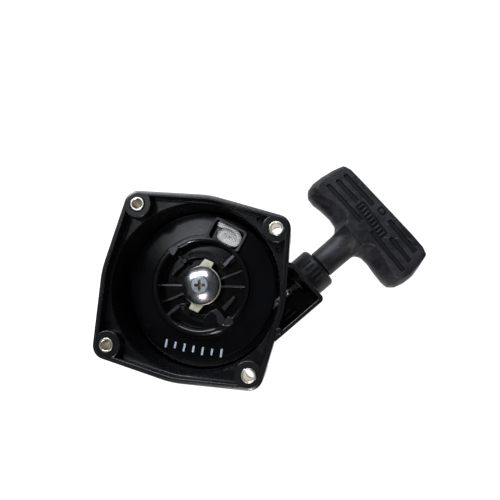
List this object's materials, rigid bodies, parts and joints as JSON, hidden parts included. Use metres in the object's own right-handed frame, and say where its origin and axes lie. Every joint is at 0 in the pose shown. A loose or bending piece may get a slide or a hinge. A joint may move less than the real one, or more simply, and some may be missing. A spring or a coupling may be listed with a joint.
{
  "type": "recoil starter",
  "caption": "Pull-rope recoil starter for a small two-stroke engine: square bolt-on housing, spring-loaded reel with pawls, domed centre screw and T grip.",
  "frame": {"origin": "point where the reel axis meets the flat back face that the starter rests on", "axes": "+Z along the reel axis towards the engine side; +X and +Y along the sides of the square bolt pattern, with the rope leaving between +X and +Y at 51.3 degrees from +X"},
  "size_m": [0.1801, 0.1411, 0.0504],
  "materials": {
    "black_nylon": "satin moulded, glass-filled nylon",
    "grip_rubber": "matte moulded, scuffed",
    "seat_plastic": "matte moulded",
    "zinc_steel": "bright zinc plated",
    "yellow_zinc": "pale yellow zinc plated",
    "spring_steel": "oiled spring steel",
    "plain_steel": "plain steel",
    "insert_brass": "turned",
    "braided_rope": "braided nylon, white with grey flecks"
  },
  "bodies": {
    "housing": {"housing": "black_nylon", "bolt_sleeve_1": "zinc_steel", "bolt_sleeve_2": "zinc_steel", "bolt_sleeve_3": "zinc_steel", "bolt_sleeve_4": "zinc_steel", "spring_case": "plain_steel", "recoil_spring": "spring_steel", "threaded_insert": "insert_brass", "centre_screw": "zinc_steel", "thrust_washer": "plain_steel", "friction_spring": "spring_steel", "handle_seat": "seat_plastic", "rope_eyelet": "plain_steel", "rope_lead": "braided_rope"},
    "reel": {"reel": "black_nylon", "rope_winding": "braided_rope", "rope_knot": "braided_rope", "pawl_pin_1": "plain_steel", "pawl_pin_2": "plain_steel"},
    "friction_plate": {"friction_plate": "yellow_zinc"},
    "pawl_1": {"pawl_1": "black_nylon"},
    "pawl_2": {"pawl_2": "black_nylon"},
    "handle": {"handle": "grip_rubber", "handle_washer": "zinc_steel", "grip_knot": "braided_rope"}
  },
  "joints": [
    {"name": "reel_spin", "type": "hinge", "parent": "housing", "child": "reel", "pos_m": [0, 0, 0.015], "axis": [0, 0, 1], "range_deg": [0, 1130], "stiffness_Nm_per_rad": 0.012, "springref_deg": -1077.16, "deforming": ["recoil_spring"]},
    {"name": "handle_pull", "type": "slide", "parent": "housing", "child": "handle", "axis": [0.6252, 0.7804, 0], "range_m": [0, 0.7002], "deforming": ["rope_lead"]},
    {"name": "friction_plate_turn", "type": "hinge", "parent": "reel", "child": "friction_plate", "pos_m": [0, 0, 0.023], "axis": [0, 0, 1], "range_deg": [-20, 0]},
    {"name": "pawl_1_swing", "type": "hinge", "parent": "reel", "child": "pawl_1", "pos_m": [0.00925, 0.01602, 0.017], "axis": [0, 0, 1], "range_deg": [-9, 0]},
    {"name": "pawl_2_swing", "type": "hinge", "parent": "reel", "child": "pawl_2", "pos_m": [-0.00925, -0.01602, 0.017], "axis": [0, 0, 1], "range_deg": [-9, 0]}
  ],
  "couplings": [
    {"joint": "handle_pull", "follows": "reel_spin", "m_per_rad": 0.0355},
    {"joint": "pawl_1_swing", "follows": "friction_plate_turn", "ratio": 0.45},
    {"joint": "pawl_2_swing", "follows": "friction_plate_turn", "ratio": 0.45}
  ]
}
